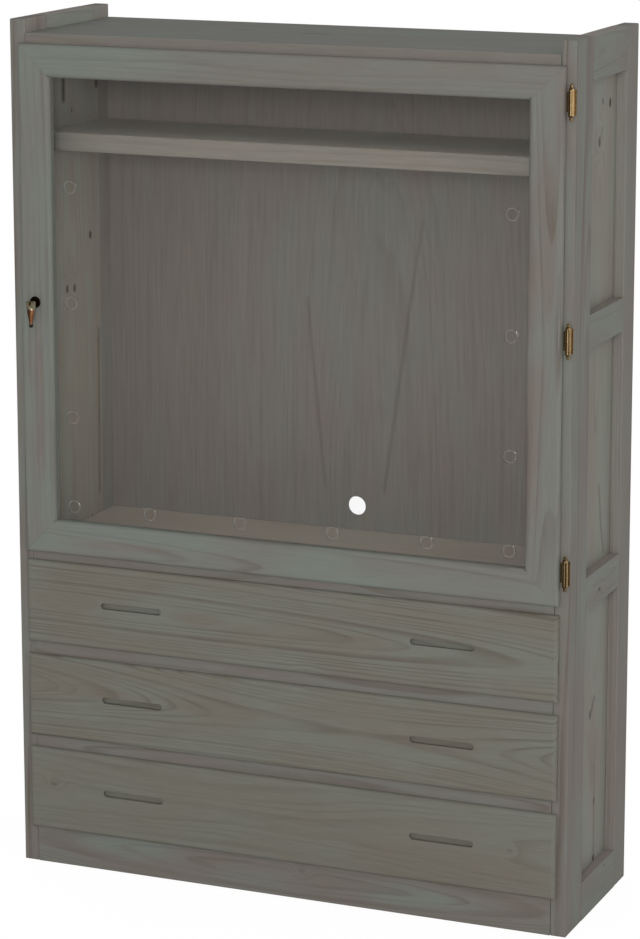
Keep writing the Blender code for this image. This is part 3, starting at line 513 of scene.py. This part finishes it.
# Hinges. Three semi-concealed hinges of drawn brass, with turned tips, one leaf on the side and one
# behind the door. They are polished and lacquered, and fingers have dulled them in small patches.
brass, tree = new_material("drawn brass, polished")
place = add(tree, "ShaderNodeTexCoord", output="Object")
handled = add(tree, "ShaderNodeTexNoise", {"Vector": place, "Scale": 1 / (6 * MM), "Detail": 3.0})
rough = add(tree, "ShaderNodeMapRange", {"Value": handled, "To Min": 0.1, "To Max": 0.22})
inputs = {0: handled, 6: colour("#C9B083"), 7: colour("#8B6C45")}
tarnish = add(tree, "ShaderNodeMix", inputs, 2, data_type="RGBA")
shine = add(tree, "ShaderNodeBsdfPrincipled", {"Base Color": tarnish, "Metallic": 1.0, "Roughness": rough})
add(tree, "ShaderNodeOutputMaterial", {"Surface": shine})
for word in ("bottom", "middle", "top"):
    dress(f"hinge_{word}_frame_leaf", brass)
    dress(f"hinge_{word}_door_leaf", brass)

# Lock. A cam lock through the left stile: its housing and plug are zinc, plated in dark bronze.
# Wear is drawn as a fine mottle all over.
bronze, tree = new_material("die-cast zinc, dark bronze plate")
place = add(tree, "ShaderNodeTexCoord", output="Object")
worn = add(tree, "ShaderNodeTexNoise", {"Vector": place, "Scale": 1 / (4 * MM), "Detail": 2.0})
inputs = {0: worn, 6: colour("#2E231E"), 7: colour("#584539")}
plate = add(tree, "ShaderNodeMix", inputs, 2, data_type="RGBA")
rough = add(tree, "ShaderNodeMapRange", {"Value": worn, "To Min": 0.16, "To Max": 0.3})
shine = add(tree, "ShaderNodeBsdfPrincipled", {"Base Color": plate, "Metallic": 1.0, "Roughness": rough})
add(tree, "ShaderNodeOutputMaterial", {"Surface": shine})
for node in ("lock_housing", "lock_plug"):
    dress(node, bronze)

# Key. Its blade and hub are brass, its folding grip is turned copper, and the grip's ball is
# dipped in black enamel. The bands are set by height, as the grip hangs at rest.
dress("key", brass)
BALL_TOP = 1.0778  # m above the floor
HUB_BOTTOM = 1.1052
BAND_EDGE = 0.3 * MM
grip, tree = new_material("turned copper and brass, black enamel tip")
place = add(tree, "ShaderNodeTexCoord", output="Object")
height = add(tree, "ShaderNodeSeparateXYZ", {0: place}, "Z")
rubbed = add(tree, "ShaderNodeTexNoise", {"Vector": place, "Scale": 1 / (5 * MM), "Detail": 2.0})
inputs = {"Value": height, "From Min": HUB_BOTTOM - BAND_EDGE, "From Max": HUB_BOTTOM + BAND_EDGE}
hub = add(tree, "ShaderNodeMapRange", inputs)
inputs = {"Value": height, "From Min": BALL_TOP + BAND_EDGE, "From Max": BALL_TOP - BAND_EDGE}
ball = add(tree, "ShaderNodeMapRange", inputs)
inputs = {0: rubbed, 6: colour("#DDA277"), 7: colour("#9C6238")}
copper = add(tree, "ShaderNodeMix", inputs, 2, data_type="RGBA")
pits = add(tree, "ShaderNodeTexNoise", {"Vector": place, "Scale": 1 / (1.4 * MM), "Detail": 1.0})
pits = add(tree, "ShaderNodeMapRange", {"Value": pits, "From Min": 0.55, "From Max": 0.66})
inputs = {0: pits, 6: colour("#F2E6C6"), 7: colour("#8A7654")}
cast = add(tree, "ShaderNodeMix", inputs, 2, data_type="RGBA")
metal = add(tree, "ShaderNodeMix", {0: hub, 6: copper, 7: cast}, 2, data_type="RGBA")
metal = add(tree, "ShaderNodeMix", {0: ball, 6: metal, 7: colour("#0E0D0C")}, 2, data_type="RGBA")
bare = add(tree, "ShaderNodeMath", {0: 1.0, 1: ball}, operation="SUBTRACT")
rough = add(tree, "ShaderNodeMapRange", {"Value": rubbed, "To Min": 0.3, "To Max": 0.44})
shine = add(tree, "ShaderNodeBsdfPrincipled", {"Base Color": metal, "Metallic": bare, "Roughness": rough})
add(tree, "ShaderNodeOutputMaterial", {"Surface": shine})
dress("key_grip", grip)

# Nut, cam and strike. Pressed steel with a dull zinc plate. The nut holds the lock in the stile, and
# the cam turns with the plug until it lies behind the strike on the left side.
zinc, tree = new_material("pressed steel, zinc plate")
place = add(tree, "ShaderNodeTexCoord", output="Object")
spangle = add(tree, "ShaderNodeTexNoise", {"Vector": place, "Scale": 1 / (3 * MM), "Detail": 2.0})
rough = add(tree, "ShaderNodeMapRange", {"Value": spangle, "To Min": 0.32, "To Max": 0.5})
inputs = {0: spangle, 6: colour("#BFC1C2"), 7: colour("#A3A6A8")}
plate = add(tree, "ShaderNodeMix", inputs, 2, data_type="RGBA")
shine = add(tree, "ShaderNodeBsdfPrincipled", {"Base Color": plate, "Metallic": 1.0, "Roughness": rough})
add(tree, "ShaderNodeOutputMaterial", {"Surface": shine})
for node in ("lock_nut", "lock_cam", "lock_strike"):
    dress(node, zinc)

# Studio floor. Pale seamless paper: it shows nearly white to the camera and keeps a soft shadow.
# It is hidden from glossy and transmitted rays, as it would haze the glazing. A strength of 1.05
# is just past white, so that it stays white where the light falls off.
FLOOR_HALF = 14.0
shape = bmesh.new()
bmesh.ops.create_grid(shape, x_segments=2, y_segments=2, size=FLOOR_HALF)
floor_mesh = bpy.data.meshes.new("floor")
shape.to_mesh(floor_mesh)
shape.free()
floor = bpy.data.objects.new("floor", floor_mesh)
bpy.context.scene.collection.objects.link(floor)
floor.location.z = -0.5 * MM
floor.visible_glossy = False
floor.visible_transmission = False
paper, tree = new_material("seamless paper")
sheet = add(tree, "ShaderNodeBsdfDiffuse", {"Color": colour("#E6E6E6")})
white = add(tree, "ShaderNodeEmission", {"Color": (1.0, 1.0, 1.0, 1.0), "Strength": 1.05})
seen = add(tree, "ShaderNodeLightPath", output="Is Camera Ray")
share = add(tree, "ShaderNodeMath", {0: seen, 1: 0.9}, operation="MULTIPLY")
sheet = add(tree, "ShaderNodeMixShader", {0: share, 1: sheet, 2: white})
add(tree, "ShaderNodeOutputMaterial", {"Surface": sheet})
floor_mesh.materials.append(paper)

# Studio light. A dim pale room fills the shadows, and two soft boxes light the front, the top and
# the right side. Gloss sees a dark room in front, with one bright patch for the metal, and white
# paper behind. The glazing is spared that patch, and what it mirrors inside is a weak veil.
ROOM_LIGHT = 0.69
DARK_SIDE = 0.05
WHITE_SIDE = 0.7
BRIGHT_PATCH = 1.4
VEIL = 0.4
world = bpy.data.worlds.new("studio")
bpy.context.scene.world = world
world.use_nodes = True
tree = world.node_tree
tree.nodes.clear()
paths = add(tree, "ShaderNodeLightPath").node.outputs
direction = add(tree, "ShaderNodeTexCoord", output="Generated")
inputs = {0: direction, 1: (0.5, 0.87, 0.0)}
paper_side = add(tree, "ShaderNodeVectorMath", inputs, "Value", operation="DOT_PRODUCT")
inputs = {"Value": paper_side, "From Min": 0.1, "From Max": 0.7, "To Min": DARK_SIDE, "To Max": WHITE_SIDE}
mirrored = add(tree, "ShaderNodeMapRange", inputs)
inputs = {0: direction, 1: (0.15, -0.99, 0.0)}
patch = add(tree, "ShaderNodeVectorMath", inputs, "Value", operation="DOT_PRODUCT")
inputs = {"Value": patch, "From Min": 0.93, "From Max": 0.975, "To Max": BRIGHT_PATCH}
patch = add(tree, "ShaderNodeMapRange", inputs, interpolation_type="SMOOTHSTEP")
blurred = add(tree, "ShaderNodeMath", {0: 1.0, 1: paths["Is Singular Ray"]}, operation="SUBTRACT")
mirrored = add(tree, "ShaderNodeMath", {0: patch, 1: blurred, 2: mirrored}, operation="MULTIPLY_ADD")
inputs = {0: paths["Is Transmission Ray"], 2: mirrored, 3: VEIL}
mirrored = add(tree, "ShaderNodeMix", inputs, data_type="FLOAT")
inputs = {0: paths["Is Camera Ray"], 1: paths["Is Transmission Ray"]}
seen = add(tree, "ShaderNodeMath", inputs, operation="MAXIMUM")
level = add(tree, "ShaderNodeMix", {0: seen, 2: ROOM_LIGHT, 3: 1.0}, data_type="FLOAT")
inputs = {0: paths["Glossy Depth"], 1: paths["Is Diffuse Ray"]}
in_gloss = add(tree, "ShaderNodeMath", inputs, operation="SUBTRACT", use_clamp=True)
level = add(tree, "ShaderNodeMix", {0: in_gloss, 2: level, 3: mirrored}, data_type="FLOAT")
backdrop = add(tree, "ShaderNodeBackground", {"Color": (1.0, 1.0, 1.0, 1.0), "Strength": level})
add(tree, "ShaderNodeOutputWorld", {"Surface": backdrop})

MIDDLE = Vector((0, 0, (cad_box[0][2] + cad_box[1][2]) / 2))
soft_boxes = {
    # place: direction from the middle, distance, side, watts
    "front": ((0.32, -1.0, 0.24), 7.5, 1.5, 182),
    "right": ((1.0, -0.3, 0.2), 5.0, 3.0, 31),
}
for place, (direction, distance, side, watts) in soft_boxes.items():
    soft_box = bpy.data.lights.new(f"soft_box_{place}", "AREA")
    soft_box.shape = "SQUARE"
    soft_box.size = side
    soft_box.energy = watts
    lamp = bpy.data.objects.new(soft_box.name, soft_box)
    bpy.context.scene.collection.objects.link(lamp)
    lamp.location = MIDDLE + distance * Vector(direction).normalized()
    lamp.rotation_euler = (MIDDLE - lamp.location).to_track_quat("-Z", "Y").to_euler()

# Camera. Fitted to the photographed corners: it stands six metres off, above the top and to the
# right. Its frame is shifted down a little, so that the uprights lean no more than photographed.
PICTURE = (640, 939)  # pixels
FOCAL_PIXELS = 3284.7
AXIS_ROW = 360  # where the lens axis meets the picture
CAMERA_AT = (2.3597, -5.6103, 2.2118)
TURN, TILT, ROLL = math.radians(22.782), math.radians(11.149), math.radians(-0.060)
camera = bpy.data.cameras.new("camera")
camera.sensor_width = 36
camera.lens = FOCAL_PIXELS * camera.sensor_width / PICTURE[1]
camera.shift_y = (AXIS_ROW - PICTURE[1] / 2) / PICTURE[1]
camera.clip_end = 60
eye = bpy.data.objects.new("camera", camera)
bpy.context.scene.collection.objects.link(eye)
aim = Euler((math.pi / 2 - TILT, 0, TURN)).to_matrix().to_4x4() @ Matrix.Rotation(ROLL, 4, "Z")
eye.matrix_world = Matrix.Translation(CAMERA_AT) @ aim
bpy.context.scene.camera = eye
bpy.context.scene.view_settings.view_transform = "Standard"
